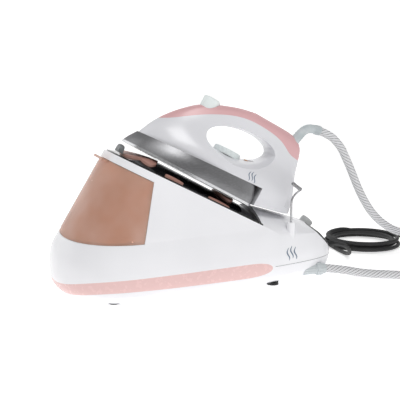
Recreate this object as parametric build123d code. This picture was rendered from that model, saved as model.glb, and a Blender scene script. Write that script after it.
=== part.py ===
from build123d import *

import os
from math import atan2, cos, degrees, hypot, pi, radians, sin, tan

os.makedirs("parts", exist_ok=True)

# Frame: X runs from the tank (front, -X) to the hose side (rear, +X), Z is up, the origin is under
# the middle of the base on the table. Millimetres throughout.

# ---- base station ----
base_length = 400.0
base_width = 196.0
base_wall = 2.6
floor_gap = 4.0             # the rubber feet hold the tray this far off the table
parting_height = 33.0       # tray below, cover above
nose_power = 2.25           # roundness of the plan outline in front of the widest section
tail_power = 3.1            # and behind it

# height, nose setback, tail setback, side setback, how much one side closes in towards the tail,
# and how far the widest section is from the nose
base_levels = (
    (4.0, 31.0, 27.0, 27.0, 26.0, 86.0),
    (10.0, 13.0, 13.0, 14.0, 28.0, 86.0),
    (20.0, 2.5, 3.5, 4.0, 31.0, 86.0),
    (33.0, 0.0, 1.0, 0.0, 32.0, 86.0),
    (48.0, 0.5, 1.5, 0.5, 33.0, 87.0),
    (62.0, 2.8, 5.0, 3.0, 34.0, 89.0),
    (76.0, 9.2, 13.0, 7.0, 35.0, 93.0),
    (88.0, 16.5, 24.0, 10.5, 36.0, 98.0),
)
# straight walls rise from the last level to this one
base_crest = (210.0, 89.5, 90.0, 37.5, 40.0, 138.0)

# ---- accent band let into the skin ----
band_depth = 0.9
band_end = 286.0            # rear tip of the band, from the nose
band_round = 40.0           # length of its rounded tip
# distance from the nose, lower edge, upper edge
band_edges = (
    (-8.0, 6.0, 22.0),
    (16.0, 16.7, 33.3),
    (40.0, 22.8, 38.8),
    (80.0, 25.0, 41.4),
    (140.0, 23.8, 41.8),
    (band_end - band_round, 21.8, 41.4),
)

# ---- iron on its rest ----
iron_tilt = 29.0
tip_setback = 96.6          # sole tip, from the nose of the base
tip_height = 204.3
sole_length = 192.0
sole_width = 108.0
sole_widest = 112.0
sole_thickness = 3.2
rest_gap = 0.3              # air left between the sole and the pads

# ---- ramp, rest plate and hump ----
rim_tilt = 27.5
rim_drop = 17.0             # rim below the rear end of the sole, measured upright
rim_ledge = 3.0
plate_flange = 2.0
crown_radius = 100.0
crown_top_gap = 3.0
hump_gap = 5.0              # air under the heel of the iron
hump_radius = 87.0
hump_tilt = 18.0
hump_lead = 13.0            # hump front face behind the rear end of the sole
slope_start = 42.0          # top of the rear slope, from the tail
slope_tilt = 44.0

# ---- water tank ----
tank_floor = 83.0
tank_wall = 2.0
tank_gap = 0.5
tank_back_low = 101.0       # rear face of the tank at its floor, from the nose
tank_back_lean = 13.5       # degrees the rear face leans back
rim_band = 10.0             # white band left between the tank and the rim
valve_bore = 12.0

# ---- rear panel, knob, rocker ----
panel_half_width = 44.0
panel_thickness = 2.6
knob_diameter = 18.5
knob_height = 9.5
knob_shaft = 6.0
knob_place = 11.0           # down the slope from its top
rocker_place = 34.0
rocker_length = 17.2
rocker_width = 12.0
rocker_thickness = 5.0
rocker_lean = 10.0

# ---- handle of the iron ----
housing_wall = 2.5
opening_place = (147.5, 69.5)
opening_radii = (51.5, 19.0)
opening_lean = 9.0
dial_place = 142.0
dial_diameter = 39.0
dial_height = 8.5
dial_seat = 48.5
dial_shaft = 5.0
button_place = 88.0
button_length = 25.0
button_width = 18.0
button_top = 108.0
button_travel = 3.0
running_clearance = 0.05

# ---- hose and mains lead ----
hose_diameter = 12.0
boot_diameter = 14.0
mains_diameter = 6.0
hose_coil_centre = (395.0, -45.0)
hose_coil_radius = 72.0
hose_coil_turns = 2.5
mains_coil_centre = (334.0, 125.0)
mains_coil_radius = 56.0
mains_coil_spread = 10.0
mains_coil_height = 20.0
plug_diameter = 37.0
plug_length = 38.0

nose_x = -base_length / 2
tail_x = base_length / 2
far = 1000.0

iron_place = Location((nose_x + tip_setback, 0, tip_height), (0, iron_tilt, 0))


def on_iron(u, w):
    """World x and z of a point given along and above the sole."""
    lean = radians(iron_tilt)
    x = nose_x + tip_setback + u * cos(lean) + w * sin(lean)
    z = tip_height - u * sin(lean) + w * cos(lean)
    return x, z


def below(x, z, tilt):
    """Everything under a plane through (x, z) that falls towards +X."""
    low = Box(far, far, far, align=(Align.CENTER, Align.CENTER, Align.MAX))
    return Location((x, 0, z), (0, tilt, 0)) * low


def lengthwise_cylinder(x, z, tilt, radius):
    """A long cylinder whose top line passes through (x, z)."""
    bar = Pos(0, 0, -radius) * Rot(0, 90, 0) * Cylinder(radius, far)
    return Location((x, 0, z), (0, tilt, 0)) * bar


def chord_steps(points):
    """Running chord length along a row of points."""
    total = 0.0
    steps = [total]
    for (xa, ya), (xb, yb) in zip(points, points[1:]):
        total += hypot(xb - xa, yb - ya)
        steps.append(total)
    return steps


def outline(points, height, nose_direction, steps):
    """A closed outline from the points of its +Y half, tail first and nose last.

    Outlines that are lofted together share their steps, so that their curves match.
    """
    side = [Vector(x, y, height) for x, y in points]
    other = [Vector(x, -y, height) for x, y in reversed(points)]
    back = [steps[-1] - step for step in reversed(steps)]
    dx, dy = nose_direction
    upper = Edge.make_spline(side, tangents=[(0, 1, 0), (-dx, -dy, 0)], parameters=steps, scale=False)
    lower = Edge.make_spline(other, tangents=[(dx, -dy, 0), (0, 1, 0)], parameters=back, scale=False)
    return Wire([upper, lower])


def egg(front, rear, half, closing, widest, steps=9):
    """+Y half of the plan outline of the base."""
    points = []
    for step in range(steps + 1):
        angle = pi / 2 * step / steps
        reach = cos(angle) ** (2 / tail_power) if step < steps else 0.0
        rise = sin(angle) ** (2 / tail_power)
        x = widest + (rear - widest) * reach
        points.append((x, (half - closing * reach) * rise))
    for step in range(1, steps + 1):
        angle = pi / 2 * step / steps
        reach = sin(angle) ** (2 / nose_power)
        rise = cos(angle) ** (2 / nose_power) if step < steps else 0.0
        points.append((widest - (widest - front) * reach, half * rise))
    return points


def base_outline_points(level, inset=0.0):
    height, nose, tail, side, closing, widest = level
    return egg(
        nose_x + nose + inset,
        tail_x - tail - inset,
        base_width / 2 - side - inset,
        closing,
        nose_x + widest,
    )


def base_envelope(inset=0.0):
    """The outer form of the base without its ramp and hump, or the same form further in."""
    steps = chord_steps(base_outline_points(base_levels[3]))
    sections = []
    for level in base_levels:
        height = level[0] + (inset if level is base_levels[0] else 0.0)
        sections.append(outline(base_outline_points(level, inset), height, (0, 1), steps))
    crest = outline(base_outline_points(base_crest, inset), base_crest[0], (0, 1), steps)
    return Solid.make_loft(sections) + Solid.make_loft([sections[-1], crest])


# ---------------------------------------------------------------- base shells
sole_rear_x, sole_rear_z = on_iron(sole_length, 0)
heel_x, heel_z = on_iron(261.0, 18.0)
hump_front = sole_rear_x + hump_lead
ridge_z = heel_z - hump_gap
slope_x = tail_x - slope_start
slope_z = ridge_z - (slope_x - heel_x) * tan(radians(hump_tilt))


def rim(drop=0.0):
    """Below the rim plane, lowered at right angles to itself."""
    lean = radians(rim_tilt)
    x = sole_rear_x - drop * sin(lean)
    z = sole_rear_z - rim_drop - drop * cos(lean)
    return below(x, z, rim_tilt)


def hump(inset=0.0, start=0.0):
    """The crowned roof behind the ramp, with its rear slope."""
    lean = radians(slope_tilt)
    roof = lengthwise_cylinder(heel_x, ridge_z - inset, hump_tilt, hump_radius - inset)
    behind = Pos(hump_front + start, 0, 0) * Box(far, far, far, align=(Align.MIN, Align.CENTER, Align.CENTER))
    slope = below(slope_x - inset * sin(lean), slope_z - inset * cos(lean), slope_tilt)
    return roof & behind & slope


def tank_zone(gap):
    """The block cut out of the base for the tank; a positive gap makes it smaller."""
    floor = Pos(0, 0, tank_floor + gap) * Box(far, far, far, align=(Align.CENTER, Align.CENTER, Align.MIN))
    front = Location((nose_x + tank_back_low - gap, 0, tank_floor), (0, tank_back_lean, 0)) * Box(
        far, far, far, align=(Align.MAX, Align.CENTER, Align.CENTER)
    )
    return rim(rim_band + gap) & floor & front


outer = base_envelope()
inner = base_envelope(base_wall)
skin = base_envelope(band_depth)
top_form = rim() + hump()
lower_form = rim(base_wall) + hump(base_wall, base_wall)
above_parting = Pos(0, 0, parting_height) * Box(far, far, far, align=(Align.CENTER, Align.CENTER, Align.MIN))
under_parting = Pos(0, 0, parting_height) * Box(far, far, far, align=(Align.CENTER, Align.CENTER, Align.MAX))

body_form = outer & top_form
cavity_form = inner & lower_form

# accent band: an oval-ended strip wrapped round the nose
band_lower = [(nose_x + x, low) for x, low, high in band_edges]
band_upper = [(nose_x + x, high) for x, low, high in band_edges]
band_point = (nose_x + band_end, (band_lower[-1][1] + band_upper[-1][1]) / 2)
band_profile = make_face(Wire([
    Spline(*band_upper, tangents=[(2, 1), (1, 0)]).edge(),
    Spline(band_upper[-1], band_point, band_lower[-1], tangents=[(1, 0), (-1, 0)]).edge(),
    Spline(*reversed(band_lower), tangents=[(-1, 0), (-2, -1)]).edge(),
    Line(band_lower[0], band_upper[0]).edge(),
]))
band_prism = extrude(Plane.XZ * band_profile, far / 2, both=True)
accent_band = (outer & band_prism) - skin

cover_cavity = (cavity_form - tank_zone(-base_wall)) & above_parting
base_cover = (body_form & above_parting) - cover_cavity - tank_zone(0) - accent_band
base_tray = (body_form & under_parting) - cavity_form - accent_band

# rear slope: everything on it is placed in a frame whose Z stands off the slope
slope_frame = Location((slope_x, 0, slope_z), (0, slope_tilt, 0))
panel_length = slope_start / cos(radians(slope_tilt)) - 6
panel_zone = slope_frame * Pos(2, 0, -panel_thickness) * Box(
    panel_length, 2 * panel_half_width, panel_thickness + 40, align=(Align.MIN, Align.CENTER, Align.MIN)
)
knob_frame = slope_frame * Pos(knob_place, 0, 0)
rocker_frame = slope_frame * Pos(rocker_place, 0, 0)
rocker_block = Box(rocker_length + 6, rocker_width + 5, 14, align=(Align.CENTER, Align.CENTER, Align.MAX))
knob_hole = knob_frame * Cylinder(knob_shaft / 2 + running_clearance, 40)
rocker_hole = rocker_frame * Pos(0, 0, 7) * rocker_block

rear_panel = (body_form & panel_zone) - knob_hole - rocker_hole
base_cover -= panel_zone
base_cover -= knob_hole

# mains gland and hose gland go through the wall; their places follow the tail
mains_exit = Pos(tail_x - 2, 12, 37)
mains_gland = mains_exit * Rot(0, 90, 0) * (
    Pos(0, 0, -8) * Cylinder(5, 14, align=(Align.CENTER, Align.CENTER, Align.MIN))
    + Pos(0, 0, 2.2) * Cylinder(8, 3, align=(Align.CENTER, Align.CENTER, Align.MIN))
    + Pos(0, 0, 5.2) * Cone(5.5, 3.6, 18, align=(Align.CENTER, Align.CENTER, Align.MIN))
)
gland_x = tail_x - 38
gland_y = -45.0
gland_z = 17.0
hose_gland_axis = Pos(gland_x, gland_y, gland_z) * Rot(0, 90, 0)
hose_gland = hose_gland_axis * (
    Pos(0, 0, -18) * Cylinder(7, 22, align=(Align.CENTER, Align.CENTER, Align.MIN))
    + Pos(0, 0, 2) * Cylinder(9, 9, align=(Align.CENTER, Align.CENTER, Align.MIN))
    + Pos(0, 0, 11) * Cylinder(7.5, 5, align=(Align.CENTER, Align.CENTER, Align.MIN))
)
hose_gland_end = gland_x + 16
base_tray -= hose_gland
base_cover -= mains_gland
rear_panel -= mains_gland
base_tray -= mains_gland


# ---------------------------------------------------------------- feet and fasteners of the base
foot_diameter = 16.0
foot_places = [(nose_x + 70, 52.0), (tail_x - 100, 40.0)]
feet = []
base_screws = []
screw_bosses = []
for foot_x, foot_y in foot_places:
    for side in (-1, 1):
        feet.append(Pos(foot_x, side * foot_y, 0) * Cylinder(
            foot_diameter / 2, floor_gap, align=(Align.CENTER, Align.CENTER, Align.MIN)
        ))
for screw_x, screw_y in ((nose_x + 40, 34.0), (nose_x + 125, 54.0), (tail_x - 62, 22.0)):
    for side in (-1, 1):
        at = Pos(screw_x, side * screw_y, floor_gap)
        head = Cylinder(3.6, 2.2, align=(Align.CENTER, Align.CENTER, Align.MIN))
        shank = Pos(0, 0, 2.2) * Cylinder(1.7, 16, align=(Align.CENTER, Align.CENTER, Align.MIN))
        screw_bosses.append(at * Cylinder(5.0, 22, align=(Align.CENTER, Align.CENTER, Align.MIN)))
        base_screws.append(at * (head + shank))
for boss, screw in zip(screw_bosses, base_screws):
    base_tray += boss & outer
    base_tray -= screw

# ---------------------------------------------------------------- rest plate and its pads
rim_lift = rim(-plate_flange)
ledge_form = base_envelope(rim_ledge)
ahead_of_hump = Pos(hump_front, 0, 0) * Box(far, far, far, align=(Align.MAX, Align.CENTER, Align.CENTER))
flange = (ledge_form & rim_lift & ahead_of_hump) - rim()


def crown(raised=0.0):
    """The crowned form of the rest plate, in the frame of the iron."""
    top = -crown_top_gap + raised
    bar = Pos(0, 0, top - crown_radius) * Rot(0, 90, 0) * Cylinder(crown_radius, far)
    round_off = 200.0
    brow_place = 85.0
    back = Pos(brow_place, 0, 0) * Box(far, far, far, align=(Align.MIN, Align.CENTER, Align.CENTER))
    brow = Pos(brow_place, 0, top + 1.0 - round_off) * Rot(90, 0, 0) * Cylinder(round_off, far)
    return bar & (back + brow)


crown_form = iron_place * crown()
rest_plate = flange + ((ledge_form & crown_form & ahead_of_hump) - rim())

pad_height = crown_top_gap - rest_gap


def pad_ring(u, v, length, width):
    """A soft pad that follows the crown: an oval prism cut to the crown's skin."""
    prism = Pos(u, v, -70) * extrude(Ellipse(length, width), 140)
    return iron_place * ((crown(pad_height) - crown()) & prism)


pad_limits = base_envelope(rim_ledge + 1.5)
rest_pad_front = (pad_ring(32, 0, 22, 46) & pad_limits) - rim_lift
rest_pads = [pad_ring(165, 0, 14, 26) - rim_lift]
for u, length in ((73, 14), (144, 17)):
    for side in (-1, 1):
        rest_pads.append((pad_ring(u, side * 49, length, 2.6) & pad_limits) - rim_lift)
stop_x, stop_z = on_iron(4, -15)
tip_stop = Location((stop_x, 0, stop_z), (0, iron_tilt, 0)) * (
    Box(7, 16, 14, align=(Align.CENTER, Align.CENTER, Align.MIN)) & Pos(0, 0, 2) * Sphere(9)
)
tip_stop -= rest_plate

# ---------------------------------------------------------------- water tank
tank_outer = outer & tank_zone(tank_gap)
tank_hollow = base_envelope(tank_wall) & tank_zone(tank_gap + tank_wall)
valve_x = nose_x + 72.0
valve_hole = Pos(valve_x, 0, tank_floor) * Cylinder(valve_bore / 2 + 1.5, 12)
fill_lean = radians(rim_tilt)
fill_x = nose_x + 102.0
fill_z = sole_rear_z - rim_drop + (sole_rear_x - fill_x) * tan(fill_lean) - (rim_band + tank_gap) / cos(fill_lean)
fill_frame = Location((fill_x, 0, fill_z), (0, rim_tilt, 0))
fill_radius = 13.0
fill_hole = fill_frame * Cylinder(fill_radius, 12)
lip_x = nose_x + 71.0
lip_z = fill_z + (fill_x - lip_x) * tan(fill_lean)
tank_lip = Location((lip_x, 0, lip_z), (0, rim_tilt, 0)) * Box(12, 40, 3, align=(Align.CENTER, Align.CENTER, Align.MAX))
water_tank = (tank_outer + tank_lip) - tank_hollow - valve_hole - fill_hole
fill_flap = fill_frame * (
    Pos(0, 0, -tank_wall - 2) * Cylinder(fill_radius, tank_wall + 2, align=(Align.CENTER, Align.CENTER, Align.MIN))
)
tank_valve = Pos(valve_x, 0, tank_floor + tank_gap) * (
    Cylinder(valve_bore / 2 + 1.5, 4, align=(Align.CENTER, Align.CENTER, Align.MIN))
    + Pos(0, 0, 4) * Cylinder(4, 10, align=(Align.CENTER, Align.CENTER, Align.MIN))
)
socket_frame = Pos(valve_x, 0, tank_floor - base_wall)
tank_socket = socket_frame * (
    Pos(0, 0, -12) * Cylinder(11, 12, align=(Align.CENTER, Align.CENTER, Align.MIN))
    - Pos(0, 0, -12) * Cylinder(4.2, 12, align=(Align.CENTER, Align.CENTER, Align.MIN))
)
socket_hole = Pos(valve_x, 0, tank_floor) * Cylinder(4.2, 12)
base_cover -= socket_hole
tank_seal = Pos(valve_x, 0, tank_floor - base_wall) * (
    Cylinder(4.2, base_wall + 0.3, align=(Align.CENTER, Align.CENTER, Align.MIN))
    - Cylinder(2.2, 12)
)

# ---------------------------------------------------------------- steam plant inside the base
boiler_x = nose_x + 205.0
boiler_low = 12.0
boiler_mid = 45.0
boiler_high = 78.0
boiler_radius = 52.0
shell_wall = 2.0
boiler_at = Pos(boiler_x, 0, 0)
up = (Align.CENTER, Align.CENTER, Align.MIN)


def disc(radius, height, z=0.0):
    return Pos(0, 0, z) * Cylinder(radius, height, align=up)


boiler_lower = boiler_at * (
    disc(boiler_radius, boiler_mid - boiler_low, boiler_low)
    + disc(boiler_radius + 4, 2, boiler_mid - 2)
    - disc(boiler_radius - shell_wall, boiler_mid, boiler_low + shell_wall)
)
boiler_upper = boiler_at * (
    disc(boiler_radius, boiler_high - boiler_mid, boiler_mid)
    + disc(boiler_radius + 4, 2, boiler_mid)
    - disc(boiler_radius - shell_wall, boiler_high - boiler_mid - shell_wall, boiler_mid)
)
boiler_legs = []
for turn in range(4):
    boiler_legs.append(
        boiler_at * Rot(0, 0, 45 + 90 * turn) * Pos(boiler_radius - 8, 0, 0)
        * disc(5, boiler_low - floor_gap - base_wall, floor_gap + base_wall)
    )
boiler_element = boiler_at * (
    Pos(0, 0, 26) * Torus(36, 4)
    + Pos(36, 0, 0) * disc(4, 26 - boiler_low - shell_wall, boiler_low + shell_wall)
    + Pos(-36, 0, 0) * disc(4, 26 - boiler_low - shell_wall, boiler_low + shell_wall)
)
valve_at = boiler_at * Pos(-24, 0, boiler_high)
safety_valve = valve_at * (disc(9, 5) + disc(6, 12, 5) + disc(3, 16, 5))
boiler_thermostat = boiler_at * Pos(18, 24, boiler_high) * (disc(10, 6) + Pos(0, 0, 6) * Box(14, 6, 5, align=up))
pump_x = nose_x + 88.0
pump_y = 36.0
pump_z = 34.0
pump_axis = Pos(pump_x, pump_y, pump_z) * Rot(0, 90, 0)
water_pump = pump_axis * (Cylinder(16, 46) + Pos(0, 0, -30) * Cylinder(5, 14) + Pos(0, 0, 30) * Cylinder(4, 14))
water_pump += Pos(pump_x, pump_y, floor_gap + base_wall) * Box(30, 20, 20, align=up)
solenoid_x = tail_x - 116.0
solenoid_y = 28.0
solenoid_top = 44.0
solenoid_valve = Pos(solenoid_x, solenoid_y, floor_gap + base_wall) * Box(
    26, 24, solenoid_top - floor_gap - base_wall, align=up
)


def pipe(points, diameter, radii):
    """A tube of straight runs joined by tangent arcs."""
    path = FilletPolyline(*points, radius=radii)
    start = Vector(*points[0])
    run = Vector(*points[1]) - start
    face = Plane(origin=start, z_dir=run) * Circle(diameter / 2)
    return sweep(face, path=path)


inlet_x = pump_x - 37
suction_tube = pipe(
    [(valve_x, 0, tank_floor - base_wall - 12), (valve_x, 0, 50), (valve_x - 26, 14, 40),
     (inlet_x - 14, pump_y - 6, pump_z), (inlet_x, pump_y, pump_z)],
    6, [6, 8, 5],
) - water_pump
feed_start = pump_x + 37
feed_tube = pipe(
    [(feed_start, pump_y, pump_z), (feed_start + 16, pump_y - 2, pump_z), (boiler_x, 0, pump_z)],
    5, [6],
) - boiler_at * disc(boiler_radius, far) - water_pump
water_tubes = [suction_tube, feed_tube]
steam_tube = pipe(
    [(boiler_x + 40, 0, 66), (solenoid_x - 8, 0, 66), (solenoid_x, solenoid_y, 62),
     (solenoid_x, solenoid_y, solenoid_top)],
    6, [9, 7],
) - boiler_at * disc(boiler_radius, far)
outlet_tube = pipe(
    [(solenoid_x + 13, solenoid_y, 26), (solenoid_x + 34, solenoid_y - 6, 25), (gland_x - 40, gland_y + 6, gland_z + 1),
     (gland_x - 18, gland_y, gland_z)],
    6, [10, 12],
) - hose_gland - solenoid_valve
board_x = tail_x - 84.0
board_y = -18.0
control_board = Pos(board_x, board_y, 50) * (
    Box(58, 44, 1.6, align=up)
    + Pos(-16, 8, 1.6) * Box(16, 14, 9, align=up)
    + Pos(12, -8, 1.6) * Box(20, 12, 6, align=up)
    + Pos(18, 12, 1.6) * disc(4, 8)
)
board_posts = []
for dx in (-24, 24):
    for dy in (-17, 17):
        board_posts.append(Pos(board_x + dx, board_y + dy, floor_gap + base_wall) * disc(3, 50 - floor_gap - base_wall))
for support in boiler_legs + board_posts:
    base_tray += support - outlet_tube

steam_regulator = knob_frame * (
    Pos(0, 0, -panel_thickness - 20) * Cylinder(9, 20, align=up)
    + Pos(0, 0, -panel_thickness - 26) * Cylinder(4, 6, align=up)
    - Pos(0, 0, -panel_thickness - 12) * Cylinder(knob_shaft / 2 + running_clearance, 30, align=up)
)
knob_lift = 0.6
steam_knob = knob_frame * (
    Pos(0, 0, knob_lift) * Cylinder(knob_diameter / 2, knob_height - knob_lift, align=up)
    + Pos(0, 0, -panel_thickness - 10) * Cylinder(knob_shaft / 2, panel_thickness + 10 + knob_lift, align=up)
)
knob_rim = steam_knob.edges().filter_by(GeomType.CIRCLE).sort_by(SortBy.RADIUS)[-2:]
steam_knob = fillet(knob_rim.sort_by(Axis((0, 0, 0), (sin(radians(slope_tilt)), 0, cos(radians(slope_tilt)))))[-1], 2.5)
knob_pointer = knob_frame * Pos(-knob_diameter / 4 - 2, 0, knob_height - 0.6) * Box(knob_diameter / 3, 1.6, 2)
steam_knob -= knob_pointer

rocker_cavity = Box(rocker_length + 1.2, rocker_width + 0.8, 9, align=(Align.CENTER, Align.CENTER, Align.MAX))
rocker_housing = rocker_frame * (
    Pos(0, 0, 0) * Box(rocker_length + 6, rocker_width + 5, 14, align=(Align.CENTER, Align.CENTER, Align.MAX))
    + Box(rocker_length + 9, rocker_width + 8, 1.4, align=up)
    - Pos(0, 0, 1.4) * rocker_cavity
)
rocker_pin_depth = 1.5
rocker_pivot = rocker_frame * Pos(0, 0, -rocker_pin_depth)
rocker_body = Rot(0, -rocker_lean, 0) * (
    Box(rocker_length - 0.6, rocker_width, rocker_thickness) + Rot(90, 0, 0) * Cylinder(1.5, rocker_width + 2.8)
)
power_rocker = rocker_pivot * rocker_body
rocker_housing -= rocker_pivot * Rot(90, 0, 0) * Cylinder(1.5 + running_clearance, rocker_width + 3.2)

# ---------------------------------------------------------------- hose holder at the side of the hump
holder_x = heel_x - 12.0
holder_y = -50.0
holder_top = ridge_z
holder_boss = 6.0
wire_diameter = 3.0
holder_column = Pos(holder_x, holder_y, 0) * disc(holder_boss, holder_top)
holder_bush = (holder_column - cavity_form) & Pos(0, 0, 60) * disc(far, far)
holder_bush -= Pos(holder_x, holder_y, 0) * disc(wire_diameter / 2 + running_clearance, far)
base_cover -= holder_column & Pos(0, 0, 60) * disc(far, far)
wire_top = 121.0
wire_path = [
    (holder_x, holder_y, holder_top - 16), (holder_x, holder_y, wire_top - 6),
    (holder_x + 5, holder_y, wire_top + 4), (holder_x + 14, holder_y, wire_top + 11),
]
holder_wire = pipe(wire_path, wire_diameter, [12, 10])
coil_start = Vector(holder_x + 14, holder_y, wire_top + 11)
coil_end = Vector(holder_x + 1, holder_y, wire_top + 21)
coil_axis = Plane(origin=coil_start, z_dir=coil_end - coil_start)
holder_wire += coil_axis * Cylinder(2.8, (coil_end - coil_start).length, align=up)
holder_wire += Pos(*coil_start) * Sphere(2.4)

# ---------------------------------------------------------------- iron: sole, skirt, heater
def ogive(front, rear, half, widest, nose_shape, tail_shape, steps=8):
    """+Y half of a plan outline with a pointed or rounded nose."""
    points = []
    for step in range(steps + 1):
        angle = pi / 2 * step / steps
        reach = cos(angle) ** (2 / tail_shape) if step < steps else 0.0
        points.append((widest + (rear - widest) * reach, half * sin(angle) ** (2 / tail_shape)))
    for step in range(1, steps + 1):
        share = 1 - step / steps
        points.append((front + (widest - front) * share, half * (1 - (1 - share) ** 2) ** nose_shape))
    return points


def sole_outline(w, front, rear, half):
    points = ogive(front, rear, half, sole_widest, 0.78, 7.0)
    steps = chord_steps(ogive(0, sole_length, sole_width / 2, sole_widest, 0.78, 7.0))
    return outline(points, w, (0.62, 0.78), steps)


def sole_loft(levels, inset):
    sections = []
    for w, nose, tail, side in levels:
        sections.append(sole_outline(w, nose + inset * 1.6, sole_length - tail - inset, sole_width / 2 - side - inset))
    return Solid.make_loft(sections)


skirt_nose_rise = 21.3
skirt_tail_rise = 29.5
skirt_lean = degrees(atan2(skirt_tail_rise - skirt_nose_rise, sole_length - 18))
skirt_levels = ((0.0, 0.0, 0.0, 0.0), (11.0, 6.5, 0.0, 0.0), (34.0, 24.0, 4.0, 5.5))


def skirt_form(inset):
    low = sole_loft(skirt_levels[:2], inset)
    high = sole_loft(skirt_levels[1:], inset)
    return low + high


def skirt_top(gap=0.0):
    low = Box(far, far, far, align=(Align.CENTER, Align.CENTER, Align.MAX))
    return Location((18, 0, skirt_nose_rise - gap), (0, -skirt_lean, 0)) * low


def over(w):
    return Pos(0, 0, w) * Box(far, far, far, align=up)


skirt_wall = 1.6
skirt_outer = skirt_form(0.0)
skirt = ((skirt_outer - skirt_form(skirt_wall)) & over(sole_thickness)) & skirt_top()
ahead_of_heel = Pos(sole_length, 0, 0) * Box(far, far, far, align=(Align.MAX, Align.CENTER, Align.CENTER))
skirt &= ahead_of_heel
soleplate = skirt_outer - over(sole_thickness)
steam_vents = []
for row, (u_start, spread) in enumerate(((34, 8), (60, 20), (86, 30), (112, 36), (138, 38))):
    for column in range(-2, 3):
        v = spread * column / 2
        steam_vents.append(Pos(u_start + 4 * (2 - abs(column)), v, 0) * Cylinder(1.5, 12))
soleplate -= steam_vents

casting_top = 15.0
element_radius = 3.5
element_path = [
    (172, -26, 9.5), (96, -30, 9.5), (40, -10, 9.5), (40, 10, 9.5), (96, 30, 9.5), (172, 26, 9.5),
]
heating_element = pipe(element_path, 2 * element_radius, [30, 8, 8, 30])
casting_form = (sole_loft(((0, 8, 8, 5), (40, 30, 8, 9)), 0.0) & over(sole_thickness)) - over(casting_top)
heater_casting = casting_form - heating_element
chamber_form = sole_loft(((0, 20, 14, 12), (40, 40, 14, 14)), 0.0)
steam_chamber_cover = (chamber_form & over(casting_top)) - over(casting_top + 2)

# ---------------------------------------------------------------- iron: housing
# height over the sole, front, rear, half width, roundness of the nose
housing_levels = (
    (0.0, 4.0, 264.0, 50.0, 0.74),
    (20.0, 16.0, 262.0, 50.5, 0.72),
    (34.0, 22.0, 259.0, 49.0, 0.70),
    (46.0, 29.0, 256.0, 43.0, 0.66),
    (58.0, 38.0, 252.5, 33.5, 0.60),
    (70.0, 49.0, 249.0, 25.0, 0.54),
    (82.0, 62.0, 246.0, 20.5, 0.50),
    (93.0, 77.0, 243.0, 18.5, 0.50),
    (103.0, 98.0, 239.5, 17.0, 0.50),
    (111.0, 120.0, 233.0, 13.5, 0.50),
    (116.5, 142.0, 222.0, 8.5, 0.50),
    (118.5, 160.0, 208.0, 3.5, 0.50),
)


def housing_form(inset=0.0):
    def points(level):
        w, front, rear, half, nose_shape = level
        return ogive(front + inset, rear - inset, max(half - inset, 1.0), 150.0, nose_shape, 2.6)

    steps = chord_steps(points(housing_levels[5]))
    sections = []
    levels = housing_levels[:-1] if inset else housing_levels
    for level in levels:
        height = level[0] - inset * level[0] / housing_levels[-1][0]
        sections.append(outline(points(level), height, (0.0, 1.0), steps))
    return Solid.make_loft(sections)


def opening_form(wall=0.0):
    """The finger opening, flared towards both sides."""
    sections = []
    for v, flare in ((-70, 24), (-36, 7.5), (-14, 1.0), (14, 1.0), (36, 7.5), (70, 24)):
        frame = Plane(origin=(opening_place[0], v, opening_place[1]), x_dir=(1, 0, 0), z_dir=(0, -1, 0))
        oval = Rot(0, 0, opening_lean) * Ellipse(
            opening_radii[0] + flare + wall, opening_radii[1] + flare * 0.8 + wall
        )
        sections.append((frame * oval).wire())
    return Solid.make_loft(sections)


handle_line = Spline((10, 40), (31, 49.5), (62, 69), (82, 81.6), (100, 91), (134, 103.2), (172, 105.2),
                     (208, 98), (222, 91.5), (236, 89.7), (280, 89))
above_line = Polyline((280, 89), (280, 160), (10, 160), (10, 40))
handle_region = extrude(Plane.XZ * make_face(Wire([handle_line.edge(), *above_line.edges()])), 80, both=True)
heel_profile = Polyline((sole_length, -10), (sole_length, 31), (214, 40), (270, 68), (270, -10), close=True)
heel_region = extrude(Plane.XZ * make_face(heel_profile), 80, both=True)
heel_floor = Polyline((0, 4), (sole_length, 4), (241, 13), (266, 18.6), (300, 26), (300, 400), (0, 400), close=True)
above_floor = extrude(Plane.XZ * make_face(heel_floor), 80, both=True)
heel_inside = Polyline((sole_length + 1.5, 8), (241, 15.5), (262, 20.5), (300, 29), (300, 400),
                       (sole_length + 1.5, 400), close=True)
above_heel_floor = extrude(Plane.XZ * make_face(heel_inside), 80, both=True)

over_skirt = ahead_of_heel - skirt_top()
shell_zone = over_skirt + (above_floor - ahead_of_heel)
inside_zone = ((Pos(1.5, 0, 0) * ahead_of_heel) - skirt_top(1.0)) + above_heel_floor
housing_solid = (housing_form() - opening_form()) & shell_zone
housing_void = (housing_form(housing_wall) - opening_form(housing_wall)) & inside_zone
housing_shell = housing_solid - housing_void

# dial, button, lens and the holes they need
dial_hole = Pos(dial_place, 0, 0) * disc(dial_shaft / 2 + running_clearance, far)
dial_recess = Pos(dial_place, 0, dial_seat) * disc(dial_diameter / 2 + 0.8, 9)
dial_gap = 0.3
thermostat_dial = Pos(dial_place, 0, dial_seat + dial_gap) * disc(dial_diameter / 2, dial_height)
thermostat_dial = fillet(thermostat_dial.edges().sort_by(Axis.Z)[-1], 3.0)
for turn in range(18):
    flute = Rot(0, 0, 20 * turn) * Pos(dial_diameter / 2 + 1.1, 0, 0)
    thermostat_dial -= Pos(dial_place, 0, dial_seat) * flute * disc(1.7, dial_height + 2)
thermostat_dial -= Pos(dial_place - dial_diameter / 2 + 5, 0, dial_seat + dial_gap + dial_height) * Box(7, 1.6, 1.2)
thermostat_low = casting_top + 2
shaft_low = thermostat_low + 6
thermostat_dial += Pos(dial_place, 0, 0) * disc(dial_shaft / 2, dial_seat + dial_gap - shaft_low, shaft_low)
thermostat = Pos(dial_place, 0, thermostat_low) * (disc(11, 9) - disc(dial_shaft / 2 + running_clearance, 9, 5))
thermostat += Pos(dial_place + 15, 0, thermostat_low) * Box(12, 9, 5, align=up)

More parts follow.
